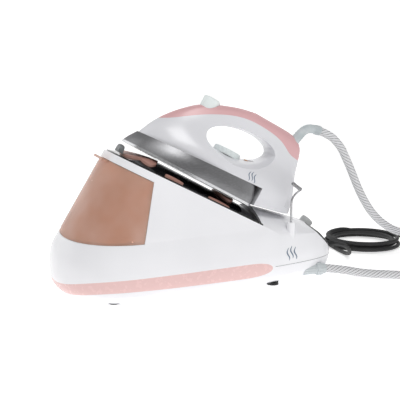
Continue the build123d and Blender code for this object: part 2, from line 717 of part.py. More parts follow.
button_oval = Pos(button_place, 0, 0) * Ellipse(button_length / 2, button_width / 2)
button_low = 88.0
steam_button = Pos(0, 0, button_low) * extrude(button_oval, button_top - button_low)
steam_button = fillet(steam_button.edges().group_by(Axis.Z)[-1], 3.5)
steam_button += Pos(button_place, 0, button_low - 4) * disc(3, 4)
button_slot = Pos(0, 0, button_low - 12) * extrude(
    Pos(button_place, 0, 0) * Ellipse(button_length / 2 + 0.4, button_width / 2 + 0.4), 60
)
switch_top = button_low - 4 - button_travel - 0.5
micro_switch = Pos(button_place - 3, 0, switch_top - 11) * (Box(18, 7, 10, align=up) + Pos(3, 0, 10) * disc(2, 1))
micro_switch += (Pos(button_place - 10, 0, switch_top - 11) * Box(3, 80, 8, align=up)) & housing_void
button_spring = Pos(button_place, 0, button_low - 3.4) * (disc(5.2, 3.4) - disc(4.3, far))

lens_u = 173.0
lens_v = -9.0
lens_low = 49.0
lens_top = 55.6
indicator_lens = Pos(lens_u, lens_v, lens_low) * extrude(Ellipse(7.2, 4.2), lens_top - lens_low)
indicator_lens = fillet(indicator_lens.edges().group_by(Axis.Z)[-1], 1.6)
lens_hole = Pos(lens_u, lens_v, lens_low) * extrude(Ellipse(7.2, 4.2), 20)
indicator_lamps = [Pos(lens_u + shift, lens_v, lens_low - 3) * disc(1.6, 7.4) for shift in (-3.2, 3.2)]
indicator_lens -= indicator_lamps

handle_cover = (housing_shell & handle_region) - button_slot
iron_housing = (housing_shell - handle_region) - heel_region - dial_hole - dial_recess - lens_hole - button_slot
heel_cover = (housing_shell - handle_region) & heel_region
iron_screws = []
screw_floor = 9.7
for side in (-1, 1):
    at = Pos(222, side * 20, screw_floor)
    heel_cover += (at * disc(4.5, 12)) - Pos(222, side * 20, 0) * disc(1.5, 40)
    heel_cover -= at * (disc(3.2, 2) + disc(1.5, 40))
    iron_screws.append(at * (disc(3.2, 2) + disc(1.5, 16, 2)))

# strain relief of the hose, in world terms because the hose leaves it level
boot_path = [(141, 0, 185), (167, 0, 213), (186, 0, 206)]
hose_boot = pipe(boot_path, boot_diameter, [22])
hose_boot += Pos(141, 0, 185) * Sphere(boot_diameter / 2)
boot_local = iron_place.inverse() * hose_boot
handle_cover -= boot_local
iron_housing -= boot_local
steam_inlet_tube = pipe(
    [(223, 0, 95), (228, 0, 78), (214, 0, 41), (176, 0, 32), (170, 0, casting_top + 2)], 7, [14, 16, 14],
) - boot_local - steam_chamber_cover

iron_nodes = dict(
    soleplate=soleplate,
    skirt=skirt,
    heater_casting=heater_casting,
    heating_element=heating_element,
    steam_chamber_cover=steam_chamber_cover,
    iron_housing=iron_housing,
    handle_cover=handle_cover,
    heel_cover=heel_cover,
    thermostat=thermostat,
    thermostat_dial=thermostat_dial,
    steam_button=steam_button,
    button_spring=button_spring,
    micro_switch=micro_switch,
    indicator_lens=indicator_lens,
    indicator_lamps=indicator_lamps,
    iron_screws=iron_screws,
    steam_inlet_tube=steam_inlet_tube,
)

# ---------------------------------------------------------------- hose and mains lead
def cord_tube(name, points, diameter):
    """A cord's tube: every arc is as large as its two runs allow."""
    corners = [Vector(*point) for point in points]
    runs = [after - before for before, after in zip(corners, corners[1:])]
    radii = []
    for before, after in zip(runs, runs[1:]):
        turn = radians(before.get_angle(after))
        radii.append(0.45 * min(before.length, after.length) / tan(turn / 2))
    print(name, "radii", [round(r) for r in radii], "runs", [round(run.length) for run in runs])
    path = FilletPolyline(*corners, radius=radii)
    face = Plane(origin=corners[0], z_dir=runs[0]) * Circle(diameter / 2)
    tube = sweep(face, path=path)
    print(name, "length", round(path.length), "volume share", round(tube.volume / (path.length * pi * diameter**2 / 4), 4))
    return tube, path.length


coil_x, coil_y = hose_coil_centre
hose_r = hose_diameter / 2
coil_height = (hose_coil_turns + 1) * hose_diameter
hose_coil = Pos(coil_x, coil_y, 0) * (
    disc(hose_coil_radius + hose_r, coil_height) - disc(hose_coil_radius - hose_r, coil_height)
)
coil_entry_z = coil_height - hose_r
hose_riser_points = [(186, 0, 206), (205, 0, 199), (222.5, 0, 181), (228.8, 0.36, 169.12)]
hose_run_points = [
    (228.8, 0.36, 169.12), (240, 1, 148), (259, 5, 110), (286, 11, 74), (321, 18, 49), (358, 25, coil_entry_z + 1.5),
    (coil_x, coil_y + hose_coil_radius, coil_entry_z),
]
hose_return_points = [
    (hose_gland_end, gland_y, gland_z), (203, -46.5, 13.5), (235, -55, 6.6), (275, -75, hose_r),
    (315, -98, hose_r), (355, -112, hose_r), (coil_x, coil_y - hose_coil_radius, hose_r),
]
hose_riser, riser_length = cord_tube("hose_riser", hose_riser_points, hose_diameter)
hose_run, run_length = cord_tube("hose_run", hose_run_points, hose_diameter)
hose_return, return_length = cord_tube("hose_return", hose_return_points, hose_diameter)
coil_drum = Pos(coil_x, coil_y, 0) * disc(hose_coil_radius + hose_r, coil_height)
hose_run -= coil_drum
hose_return -= coil_drum + hose_gland
hose_length = riser_length + run_length + return_length + hose_coil_turns * 2 * pi * hose_coil_radius
print("hose length", round(hose_length))

lead_x, lead_y = mains_coil_centre
mains_r = mains_diameter / 2
mains_coil = Pos(lead_x, lead_y, 0) * (
    disc(mains_coil_radius + mains_coil_spread, mains_coil_height)
    - disc(mains_coil_radius - mains_coil_spread, mains_coil_height)
)
mains_start = tail_x - 2 + 5.2 + 18
mains_lead_points = [
    (mains_start, 12, 37), (240, 15, 33.5), (258, 28, 20), (270, 50, 7), (275, 82, mains_r),
    (lead_x - mains_coil_radius, lead_y, mains_r),
]
mains_tail_points = [
    (lead_x, lead_y + mains_coil_radius, 12), (365, 180, 6), (395, 170, mains_r), (420, 150, mains_r),
    (437, 128, 9), (444, 104, 19),
]
mains_lead, lead_length = cord_tube("mains_lead", mains_lead_points, mains_diameter)
mains_tail, tail_length = cord_tube("mains_tail", mains_tail_points, mains_diameter)
mains_drum = Pos(lead_x, lead_y, 0) * disc(mains_coil_radius + mains_coil_spread, mains_coil_height)
mains_lead -= mains_drum + mains_gland
mains_tail -= mains_drum
mains_turns = 4.25
print("mains length", round(lead_length + tail_length + mains_turns * 2 * pi * mains_coil_radius))
plug_axis = Pos(444, 104, 19) * Rot(90, 0, 0)
mains_plug = plug_axis * (
    Cone(4, 6, 14, align=up)
    + Pos(0, 0, 14) * Cone(9, plug_diameter / 2, 10, align=up)
    + disc(plug_diameter / 2, plug_length - 10, 24)
    + Pos(-9.5, 0, 14 + plug_length) * Cylinder(2.4, 19, align=up)
    + Pos(9.5, 0, 14 + plug_length) * Cylinder(2.4, 19, align=up)
)
mains_tail -= mains_plug

base_nodes = dict(
    base_tray=base_tray,
    base_cover=base_cover,
    accent_band=accent_band,
    rear_panel=rear_panel,
    feet=feet,
    base_screws=base_screws,
    rest_plate=rest_plate,
    rest_pad_front=rest_pad_front,
    rest_pads=rest_pads,
    tip_stop=tip_stop,
    water_tank=water_tank,
    fill_flap=fill_flap,
    tank_valve=tank_valve,
    tank_socket=tank_socket,
    tank_seal=tank_seal,
    boiler_lower=boiler_lower,
    boiler_upper=boiler_upper,
    boiler_element=boiler_element,
    safety_valve=safety_valve,
    boiler_thermostat=boiler_thermostat,
    water_pump=water_pump,
    solenoid_valve=solenoid_valve,
    water_tubes=water_tubes,
    steam_tube=steam_tube,
    outlet_tube=outlet_tube,
    control_board=control_board,
    steam_regulator=steam_regulator,
    steam_knob=steam_knob,
    rocker_housing=rocker_housing,
    power_rocker=power_rocker,
    holder_bush=holder_bush,
    holder_wire=holder_wire,
    mains_gland=mains_gland,
    hose_gland=hose_gland,
    hose_boot=hose_boot,
    hose_riser=hose_riser,
    hose_run=hose_run,
    hose_coil=hose_coil,
    hose_return=hose_return,
    mains_lead=mains_lead,
    mains_coil=mains_coil,
    mains_tail=mains_tail,
    mains_plug=mains_plug,
)


def as_solids(shape):
    """All the solids of a shape or of a group of shapes."""
    if isinstance(shape, (list, tuple)):
        return [solid for piece in shape for solid in piece.solids()]
    return list(shape.solids())


def save(solids, name):
    body = solids[0] if len(solids) == 1 else Compound(children=solids)
    body.label = name
    export_step(body, "parts/" + name + ".step")


for name, shape in base_nodes.items():
    save(as_solids(shape), name)
for name, shape in iron_nodes.items():
    save([iron_place * solid for solid in as_solids(shape)], name)
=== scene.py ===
import math
import bpy
import bmesh
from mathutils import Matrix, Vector
from mathutils.bvhtree import BVHTree


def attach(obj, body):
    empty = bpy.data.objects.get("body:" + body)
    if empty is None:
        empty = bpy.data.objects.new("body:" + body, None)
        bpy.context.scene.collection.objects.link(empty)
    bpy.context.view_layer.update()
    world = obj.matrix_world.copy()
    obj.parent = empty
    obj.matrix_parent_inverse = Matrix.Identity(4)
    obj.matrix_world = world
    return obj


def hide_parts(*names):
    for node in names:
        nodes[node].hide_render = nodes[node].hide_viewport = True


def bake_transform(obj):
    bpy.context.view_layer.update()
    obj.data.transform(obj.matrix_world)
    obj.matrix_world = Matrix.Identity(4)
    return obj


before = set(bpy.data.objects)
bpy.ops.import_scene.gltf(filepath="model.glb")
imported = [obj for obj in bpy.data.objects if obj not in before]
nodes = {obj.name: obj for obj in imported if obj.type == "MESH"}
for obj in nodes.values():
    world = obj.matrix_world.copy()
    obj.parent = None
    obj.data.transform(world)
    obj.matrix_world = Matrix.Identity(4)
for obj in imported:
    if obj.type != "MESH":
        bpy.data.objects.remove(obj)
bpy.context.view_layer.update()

print("frame loaded:", len(nodes), "nodes")


def tint(red, green, blue):  # sRGB numbers, 0 to 255, as a linear colour
    out = []
    for value in (red, green, blue):
        value /= 255
        out.append(value / 12.92 if value <= 0.04045 else ((value + 0.055) / 1.055) ** 2.4)
    return (*out, 1.0)


# camera
view = dict(azimuth=-20, elevation=11, distance=1.3, target=(0, 0, 0.111), lens=85.5, shift=(0.0125, 0.0125))


def makeCamera():
    a, e = math.radians(view["azimuth"]), math.radians(view["elevation"])
    back = Vector((math.sin(a) * math.cos(e), -math.cos(a) * math.cos(e), math.sin(e)))
    data = bpy.data.cameras.new("camera")
    data.lens = view["lens"]
    data.sensor_width = 36
    data.shift_x, data.shift_y = view["shift"]
    data.clip_start, data.clip_end = 0.05, 30
    cam = bpy.data.objects.new("camera", data)
    cam.location = Vector(view["target"]) + back * view["distance"]
    cam.rotation_mode = "QUATERNION"
    cam.rotation_quaternion = (-back).to_track_quat("-Z", "Y")
    bpy.context.scene.collection.objects.link(cam)
    bpy.context.scene.camera = cam


makeCamera()


def link(obj):
    bpy.context.scene.collection.objects.link(obj)
    return obj


def newMesh(name, verts, faces, smooth=True):
    mesh = bpy.data.meshes.new(name)
    mesh.from_pydata([tuple(v) for v in verts], [], faces)
    mesh.update()
    if smooth:
        mesh.polygons.foreach_set("use_smooth", [True] * len(mesh.polygons))
    return link(bpy.data.objects.new(name, mesh))


# materials

class Finish:
    # a material and its nodes, with short names for what a maker does to it

    def __init__(self, name, colour, rough, **sockets):
        self.mat = bpy.data.materials.new(name)
        self.mat.use_nodes = True
        self.tree = self.mat.node_tree
        self.shader = self.tree.nodes["Principled BSDF"]
        self.shader.inputs["Base Color"].default_value = colour
        self.shader.inputs["Roughness"].default_value = rough
        for key, value in sockets.items():
            self.shader.inputs[key.replace("_", " ")].default_value = value
        self.place = -300

    def add(self, kind, **values):
        node = self.tree.nodes.new(kind)
        node.location = (self.place, -200)
        self.place -= 60
        for key, value in values.items():
            if hasattr(node, key):
                setattr(node, key, value)
            else:
                node.inputs[key.replace("_", " ")].default_value = value
        return node

    def wire(self, out, into):
        self.tree.links.new(out, into)

    def coords(self, scale, turn):
        spot = self.add("ShaderNodeTexCoord")
        mapping = self.add("ShaderNodeMapping")
        mapping.inputs["Rotation"].default_value = turn
        mapping.inputs["Scale"].default_value = scale
        self.wire(spot.outputs["Object"], mapping.inputs["Vector"])
        return mapping.outputs["Vector"]

    def noise(self, size, detail, stretch=(1, 1, 1), turn=(0, 0, 0)):
        grain = self.add("ShaderNodeTexNoise", Scale=1 / size, Detail=detail)
        self.wire(self.coords(stretch, turn), grain.inputs["Vector"])
        return grain.outputs["Fac"]

    def ramp(self, value, low, high, colours):
        band = self.add("ShaderNodeValToRGB")
        band.color_ramp.elements[0].position = low
        band.color_ramp.elements[1].position = high
        band.color_ramp.elements[0].color = colours[0]
        band.color_ramp.elements[1].color = colours[1]
        self.wire(value, band.inputs["Fac"])
        return band.outputs["Color"]

    def spread(self, value, low, high):
        span = self.add("ShaderNodeMapRange", To_Min=low, To_Max=high)
        self.wire(value, span.inputs["Value"])
        return span.outputs["Result"]

    def colourBy(self, value, first, second, low=0.35, high=0.65):
        self.wire(self.ramp(value, low, high, (first, second)), self.shader.inputs["Base Color"])
        return self

    def roughBy(self, value, low, high):
        self.wire(self.spread(value, low, high), self.shader.inputs["Roughness"])
        return self

    def bumpBy(self, value, strength, depth):
        bump = self.add("ShaderNodeBump", Strength=strength, Distance=depth)
        self.wire(value, bump.inputs["Height"])
        self.wire(bump.outputs["Normal"], self.shader.inputs["Normal"])
        return self


def mouldedPlastic(name, colour, rough=0.2, wobble=0.0002, coat=0.0):
    # injection-moulded gloss: slight shade drift, faint ripple, fine scuffs in the gloss
    f = Finish(name, colour, rough, Coat_Weight=coat, Coat_Roughness=0.08)
    darker = tuple(c * 0.965 for c in colour[:3]) + (1,)
    f.colourBy(f.noise(0.09, 2), darker, colour)
    f.roughBy(f.noise(0.006, 5), rough * 0.85, rough * 1.2)
    f.bumpBy(f.noise(0.02, 2), 0.25, wobble)
    return f.mat


def grainedPlastic(name, colour, rough=0.5, grain=0.0007, depth=0.00008):
    # matt moulded plastic or rubber with a fine spark-eroded grain
    f = Finish(name, colour, rough)
    lighter = tuple(min(1, c * 1.12 + 0.004) for c in colour[:3]) + (1,)
    f.colourBy(f.noise(0.02, 4), colour, lighter)
    f.roughBy(f.noise(0.004, 4), rough * 0.85, min(1, rough * 1.15))
    f.bumpBy(f.noise(grain, 3), 0.5, depth)
    return f.mat


def brushedMetal(name, colour, rough=0.32, stretch=(1, 60, 60), turn=(0, 0, 0), metal=1.0):
    # metal with fine lines along one way
    f = Finish(name, colour, rough, Metallic=metal)
    darker = tuple(c * 0.78 for c in colour[:3]) + (1,)
    lines = f.noise(0.03, 6, stretch, turn)
    f.colourBy(lines, darker, colour)
    f.roughBy(lines, rough * 0.8, rough * 1.3)
    f.bumpBy(lines, 0.25, 0.00005)
    return f.mat


tiltTurn = (0, math.radians(-29), 0)

finishes = dict(
    shell=mouldedPlastic("shellWhite", tint(244, 244, 247), 0.2),
    housing=mouldedPlastic("housingWhite", tint(225, 225, 229), 0.2),
    handle=mouldedPlastic("handlePink", tint(222, 176, 178), 0.24),
    band=mouldedPlastic("bandPink", tint(236, 199, 196), 0.26),
    plate=mouldedPlastic("plateBlack", tint(26, 26, 28), 0.12, coat=0.3),
    panel=mouldedPlastic("panelBlack", tint(34, 34, 36), 0.16, coat=0.2),
    pad=grainedPlastic("padSilicone", tint(176, 132, 120), 0.5),
    nub=grainedPlastic("nubGrey", tint(120, 124, 126), 0.45),
    control=mouldedPlastic("controlFrosted", tint(234, 241, 240), 0.32),
    skirt=brushedMetal("skirtBrushed", tint(146, 146, 148), 0.34, (2, 60, 60), tiltTurn),
    sole=brushedMetal("solePolished", tint(215, 216, 218), 0.22, (1, 40, 40), tiltTurn),
    casting=grainedPlastic("castAlloy", tint(150, 150, 152), 0.5, 0.002, 0.0002),
    steel=brushedMetal("steelBright", tint(190, 190, 192), 0.25, (30, 30, 4)),
    boiler=brushedMetal("boilerSteel", tint(178, 178, 176), 0.38, (4, 4, 40)),
    brass=brushedMetal("brassTurned", tint(196, 158, 92), 0.3, (4, 4, 60)),
    inner=grainedPlastic("innerPlastic", tint(205, 204, 196), 0.5),
    dark=grainedPlastic("darkPlastic", tint(40, 40, 42), 0.42),
    knob=grainedPlastic("knobGrey", tint(176, 178, 178), 0.38, 0.0012, 0.00005),
    board=grainedPlastic("boardGreen", tint(38, 96, 58), 0.4),
    tube=mouldedPlastic("tubeSilicone", tint(222, 218, 208), 0.35),
    rubber=grainedPlastic("rubberBlack", tint(32, 32, 33), 0.62),
    boot=mouldedPlastic("bootGrey", tint(204, 210, 212), 0.34),
    lamp=mouldedPlastic("lampRed", tint(126, 20, 18), 0.2),
    mark=grainedPlastic("markBlueGrey", tint(104, 118, 138), 0.45),
)


def makeTankPlastic():
    f = Finish("tankSmoked", tint(238, 194, 172), 0.22, Transmission_Weight=0.5, IOR=1.2)
    f.colourBy(f.noise(0.05, 2), tint(232, 184, 160), tint(243, 204, 186))
    f.roughBy(f.noise(0.01, 4), 0.2, 0.3)
    f.bumpBy(f.noise(0.03, 2), 0.2, 0.0003)
    finishes["tank"] = f.mat


def makeLensPlastic():
    f = Finish("lensAmber", tint(226, 150, 70), 0.1, Transmission_Weight=0.6, IOR=1.35)
    f.colourBy(f.noise(0.004, 2), tint(220, 140, 62), tint(236, 170, 96))
    f.roughBy(f.noise(0.002, 3), 0.08, 0.16)
    finishes["lens"] = f.mat


makeTankPlastic()
makeLensPlastic()

nodeFinish = dict(
    base_tray="shell", base_cover="shell", accent_band="band", rear_panel="panel", feet="rubber",
    base_screws="steel", rest_plate="plate", rest_pad_front="pad", rest_pads="pad", tip_stop="nub",
    water_tank="tank", fill_flap="tank", tank_valve="inner", tank_socket="inner", tank_seal="rubber",
    boiler_lower="boiler", boiler_upper="boiler", boiler_element="steel", safety_valve="brass",
    boiler_thermostat="dark", water_pump="dark", solenoid_valve="brass", water_tubes="tube",
    steam_tube="tube", outlet_tube="tube", control_board="board", steam_regulator="inner",
    steam_knob="knob", rocker_housing="dark", power_rocker="dark", holder_bush="shell",
    holder_wire="steel", mains_gland="rubber", hose_gland="boot", hose_boot="boot",
    hose_riser="boot", hose_run="boot", hose_coil="boot", hose_return="boot", mains_lead="rubber",
    mains_coil="rubber", mains_tail="rubber", mains_plug="dark", soleplate="sole", skirt="skirt",
    heater_casting="casting", heating_element="steel", steam_chamber_cover="casting",
    iron_housing="housing", handle_cover="handle", heel_cover="housing", thermostat="dark",
    thermostat_dial="control", steam_button="control", button_spring="steel", micro_switch="dark",
    indicator_lens="lens", indicator_lamps="lamp", iron_screws="steel", steam_inlet_tube="tube",
)


def dressNodes():
    # finish on every CAD node, with its curved faces shaded smooth and its edges kept
    for name, obj in nodes.items():
        obj.data.materials.clear()
        obj.data.materials.append(finishes[nodeFinish[name]])
        obj.data.polygons.foreach_set("use_smooth", [True] * len(obj.data.polygons))
        weld = obj.modifiers.new("weld", "WELD")
        weld.merge_threshold = 0.000002
        split = obj.modifiers.new("edges", "EDGE_SPLIT")
        split.split_angle = math.radians(28)
        split.use_edge_sharp = False


dressNodes()
print("nodes dressed")

# lines, tubes and turned pieces
pointsPerTurn = 14


def coilPoints(centre, radius, startAngle, turns, zStart, zEnd):
    # turns of a coil, dropping evenly from start to end
    count = round(turns * pointsPerTurn)
    out = []
    for k in range(count + 1):
        t = k / count
        angle = startAngle - 2 * math.pi * turns * t
        x = centre[0] + radius * math.cos(angle)
        y = centre[1] + radius * math.sin(angle)
        out.append((x, y, zStart + (zEnd - zStart) * t))
    return out


def routeCurve(name, points):
    # a smooth open line with these points as its control points
    data = bpy.data.curves.new(name, "CURVE")
    data.dimensions = "3D"
    data.resolution_u = 12
    line = data.splines.new("NURBS")
    line.points.add(len(points) - 1)
    for spot, point in zip(line.points, points):
        spot.co = (*point, 1.0)
    line.order_u = 3
    line.use_endpoint_u = True
    return link(bpy.data.objects.new(name, data))


def readLine(curveObject, step):
    # evenly spaced points along a curve's own line
    mesh = bpy.data.meshes.new_from_object(curveObject)
    raw = [v.co.copy() for v in mesh.vertices]
    bpy.data.meshes.remove(mesh)
    reach = [0.0]
    for a, b in zip(raw, raw[1:]):
        reach.append(reach[-1] + (b - a).length)
    count = max(2, round(reach[-1] / step))
    out, k = [], 0
    for i in range(count + 1):
        want = reach[-1] * i / count
        while k < len(raw) - 2 and reach[k + 1] < want:
            k += 1
        share = (want - reach[k]) / max(1e-9, reach[k + 1] - reach[k])
        out.append(raw[k].lerp(raw[k + 1], share))
    return out, reach[-1]


def sweepTube(name, line, around, radiusAt):
    # a tube of rings along a line, without twist, with u round it and v along it in metres
    tangent = (line[1] - line[0]).normalized()
    side = tangent.cross(Vector((0, 0, 1)))
    side = (side if side.length > 0.01 else Vector((1, 0, 0))).normalized()
    verts, faces, run = [], [], [0.0]
    for i, centre in enumerate(line):
        ahead = line[min(i + 1, len(line) - 1)] - line[max(i - 1, 0)]
        ahead.normalize()
        side = (side - ahead * side.dot(ahead)).normalized()
        up = ahead.cross(side)
        if i:
            run.append(run[-1] + (centre - line[i - 1]).length)
        for k in range(around):
            angle = 2 * math.pi * k / around
            verts.append(centre + (side * math.cos(angle) + up * math.sin(angle)) * radiusAt(i, k, run[i]))
    for i in range(len(line) - 1):
        for k in range(around):
            n = (k + 1) % around
            faces.append((i * around + k, i * around + n, (i + 1) * around + n, (i + 1) * around + k))
    faces.append(tuple(reversed(range(around))))
    faces.append(tuple(len(verts) - around + k for k in range(around)))
    obj = newMesh(name, verts, faces)
    sheet = obj.data.uv_layers.new(name="UVMap")
    for poly in obj.data.polygons:
        if len(poly.vertices) != 4:
            continue
        ks = [v % around for v in poly.vertices]
        for corner, v, k in zip(poly.loop_indices, poly.vertices, ks):
            u = k / around
            if k == 0 and max(ks) == around - 1:
                u = 1.0
            sheet.data[corner].uv = (u, run[v // around])
    return obj


# the iron's slope, and tools for pieces that sit on a skin
tilt = math.radians(29)
ironTip = Vector((-0.1034, 0, 0.2043))


def onIron(u, v, w):
    # a point of the iron, in metres along, across and above its sole
    x = u * math.cos(tilt) + w * math.sin(tilt)
    z = -u * math.sin(tilt) + w * math.cos(tilt)
    return ironTip + Vector((x, v, z))


alongSole = onIron(1, 0, 0) - onIron(0, 0, 0)
aboveSole = onIron(0, 0, 1) - onIron(0, 0, 0)


def skinOf(*names):
    # a tree of the faces of some nodes, for finding their surface
    verts, faces = [], []
    for name in names:
        mesh = nodes[name].data
        base = len(verts)
        verts += [v.co.copy() for v in mesh.vertices]
        faces += [tuple(base + k for k in p.vertices) for p in mesh.polygons]
    return BVHTree.FromPolygons(verts, faces)


def meet(skin, start, way):
    # where a line first meets a skin, and the skin's outward direction there
    spot, normal, _, _ = skin.ray_cast(start, way.normalized())
    if spot is None:
        return None, None
    return spot, normal if normal.dot(way) < 0 else -normal


def lathe(name, profile, centre, way, around=48, flutes=0, depth=0.0):
    # a turned piece: profile is (distance along way, radius), flutes cut it round its edge
    way = way.normalized()
    side = way.cross(Vector((0, 0, 1)))
    side = (side if side.length > 0.05 else Vector((1, 0, 0))).normalized()
    up = way.cross(side)
    verts, faces = [], []
    for along, radius in profile:
        for k in range(around):
            angle = 2 * math.pi * k / around
            cut = depth * (0.5 + 0.5 * math.cos(angle * flutes)) if flutes and radius > 2 * depth else 0
            outward = side * math.cos(angle) + up * math.sin(angle)
            verts.append(centre + way * along + outward * (radius - cut))
    for i in range(len(profile) - 1):
        for k in range(around):
            n = (k + 1) % around
            faces.append((i * around + k, i * around + n, (i + 1) * around + n, (i + 1) * around + k))
    faces.append(tuple(reversed(range(around))))
    faces.append(tuple(len(verts) - around + k for k in range(around)))
    obj = newMesh(name, verts, faces)
    facing = bmesh.new()
    facing.from_mesh(obj.data)
    bmesh.ops.recalc_face_normals(facing, faces=facing.faces)
    facing.to_mesh(obj.data)
    facing.free()
    split = obj.modifiers.new("edges", "EDGE_SPLIT")
    split.split_angle = math.radians(40)
    return obj


def ribbon(name, rows, lift, sink):
    # a thin strip on a skin: rows of (left, right, normal), raised by lift and let in by sink
    verts, faces = [], []
    for left, right, normal in rows:
        verts += [left + normal * lift, right + normal * lift, right - normal * sink, left - normal * sink]
    for i in range(len(rows) - 1):
        a, b = 4 * i, 4 * (i + 1)
        for k in range(4):
            n = (k + 1) % 4
            faces.append((a + k, a + n, b + n, b + k))
    last = 4 * (len(rows) - 1)
    faces += [(3, 2, 1, 0), (last, last + 1, last + 2, last + 3)]
    return newMesh(name, verts, faces, smooth=False)


# strain relief where the hose enters the iron
relief = dict(
    points=[(0.141, 0, 0.185), (0.153, 0, 0.198), (0.1645, 0, 0.2085), (0.176, 0, 0.2095),
            (0.188, 0, 0.2052)],
    root=0.0069, neck=0.0061, collar=0.0072, ring=0.0003, pitch=0.0042, step=0.0004, around=40,
    taper=1.2, ribsFrom=0.3, ribsTo=0.8, collarFrom=0.84, collarMiddle=0.92, collarHalf=0.08, collarFall=0.0004,
)


def makeRelief():
    route = routeCurve("reliefRoute", relief["points"])
    line, length = readLine(route, relief["step"])
    bpy.data.objects.remove(route)

    def radiusAt(i, k, run):
        t = run / length
        radius = relief["root"] + (relief["neck"] - relief["root"]) * min(1, t * relief["taper"])
        if t > relief["collarFrom"]:
            off = abs(t - relief["collarMiddle"])
            radius = relief["collar"] - relief["collarFall"] * off / relief["collarHalf"]
        elif relief["ribsFrom"] < t < relief["ribsTo"]:
            radius += relief["ring"] * (0.5 + 0.5 * math.cos(2 * math.pi * run / relief["pitch"]))
        return radius

    piece = sweepTube("hoseRelief", line, relief["around"], radiusAt)
    f = Finish("reliefFrosted", tint(206, 214, 216), 0.3, Transmission_Weight=0.25, IOR=1.3)
    f.colourBy(f.noise(0.01, 2), tint(198, 207, 210), tint(214, 220, 222))
    f.roughBy(f.noise(0.003, 3), 0.26, 0.38)
    piece.data.materials.append(f.mat)
    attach(piece, "iron")
    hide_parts("hose_boot")
    return piece


hoseRelief = makeRelief()

# plug, cord sleeve and hose collar
plug = dict(
    centre=(0.444, 0.104, 0.019), pinGap=0.0095, pinRadius=0.0023, pinFrom=0.052, pinTo=0.0705, pinSunk=0.004,
    pinChamfer=0.0012, pinTip=0.0004, around=72, flutes=24, fluteDepth=0.0005,
    body=[(0, 0.0036), (0.0005, 0.0041), (0.004, 0.0042), (0.0045, 0.0052), (0.006, 0.0052), (0.0065, 0.0045),
          (0.0085, 0.0047), (0.009, 0.0057), (0.0105, 0.0057), (0.011, 0.005), (0.0135, 0.0056), (0.014, 0.0088),
          (0.017, 0.012), (0.0215, 0.016), (0.026, 0.0178), (0.029, 0.0184), (0.044, 0.0184), (0.049, 0.0179),
          (0.0515, 0.0168), (0.052, 0.0155), (0.0518, 0.0145), (0.0505, 0.014)],
)
sleeve = dict(
    centre=(0.198, 0.012, 0.037), around=40, firstRib=0.0064, lastRib=0.0225, pitch=0.0024, groove=0.0006,
    taperFrom=0.0056, taperLength=0.0176, thick=0.0055, thinner=0.0018, tip=(0.0232, 0.0036),
    flange=[(-0.008, 0.005), (0.0018, 0.005), (0.0022, 0.0076), (0.003, 0.008), (0.0046, 0.008), (0.0052, 0.0074),
            (0.0056, 0.0056)],
)
collar = dict(
    centre=(0.162, -0.045, 0.017), around=72, flutes=12, fluteDepth=0.0007,
    nut=[(-0.018, 0.007), (0.0018, 0.007), (0.002, 0.0084), (0.003, 0.009), (0.01, 0.009), (0.011, 0.0082),
         (0.0112, 0.0075), (0.0155, 0.0073), (0.016, 0.0066)],
)


def makePlug():
    pieces = []
    way = Vector((0, -1, 0))
    centre = Vector(plug["centre"])
    piece = lathe("plugBody", plug["body"], centre, way, plug["around"], plug["flutes"], plug["fluteDepth"])
    piece.data.materials.append(finishes["dark"])
    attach(piece, "base")
    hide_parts("mains_plug")
    pieces.append(piece)
    for side in (-1, 1):
        pin = [(plug["pinFrom"] - plug["pinSunk"], plug["pinRadius"]),
               (plug["pinTo"] - plug["pinChamfer"], plug["pinRadius"]),
               (plug["pinTo"] - plug["pinTip"], plug["pinRadius"] * 0.75),
               (plug["pinTo"], plug["pinRadius"] * 0.35)]
        middle = centre + Vector((side * plug["pinGap"], 0, 0))
        prong = lathe("plugPin_" + ("left" if side < 0 else "right"), pin, middle, way, 24)
        prong.data.materials.append(finishes["brass"])
        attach(prong, "base")
        pieces.append(prong)
    return pieces


def makeGlands():
    rings = list(sleeve["flange"])
    run = sleeve["firstRib"]
    while run < sleeve["lastRib"]:
        share = (run - sleeve["taperFrom"]) / sleeve["taperLength"]
        radius = sleeve["thick"] - sleeve["thinner"] * share
        low = radius - sleeve["groove"]
        rings += [(run, radius), (run + 0.0002, low), (run + 0.0009, low), (run + 0.0011, radius)]
        run += sleeve["pitch"]
    rings.append(sleeve["tip"])
    piece = lathe("cordSleeve", rings, Vector(sleeve["centre"]), Vector((1, 0, 0)), sleeve["around"])
    piece.data.materials.append(finishes["rubber"])
    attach(piece, "base")
    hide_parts("mains_gland")
    ring = lathe("hoseCollar", collar["nut"], Vector(collar["centre"]), Vector((1, 0, 0)), collar["around"],
                 collar["flutes"], collar["fluteDepth"])
    ring.data.materials.append(finishes["boot"])
    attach(ring, "base")
    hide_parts("hose_gland")
    return piece, ring


plugPieces = makePlug()
cordSleeve, hoseCollar = makeGlands()
print("plug and glands made")

# steam hose
hose = dict(
    start=[(0.186, 0, 0.206), (0.205, 0, 0.199), (0.2225, 0, 0.181), (0.2288, 0.00036, 0.16912)],
    fall=[(0.24, 0.001, 0.148), (0.259, 0.005, 0.11), (0.286, 0.011, 0.074), (0.321, 0.018, 0.049),
          (0.358, 0.025, 0.0375)],
    coilCentre=(0.395, -0.045), coilRadius=0.072, turns=2.5, coilTop=0.036, coilLow=0.006,
    back=[(0.355, -0.112, 0.006), (0.315, -0.098, 0.006), (0.275, -0.075, 0.006), (0.235, -0.055, 0.0066),
          (0.203, -0.0465, 0.0135), (0.178, -0.045, 0.017)],
    diameter=0.012, length=1.65, around=28, step=0.0016, strand=0.00022, strands=8, pitch=0.0062,
    fleckWidth=0.3, fleckLength=0.55,
)


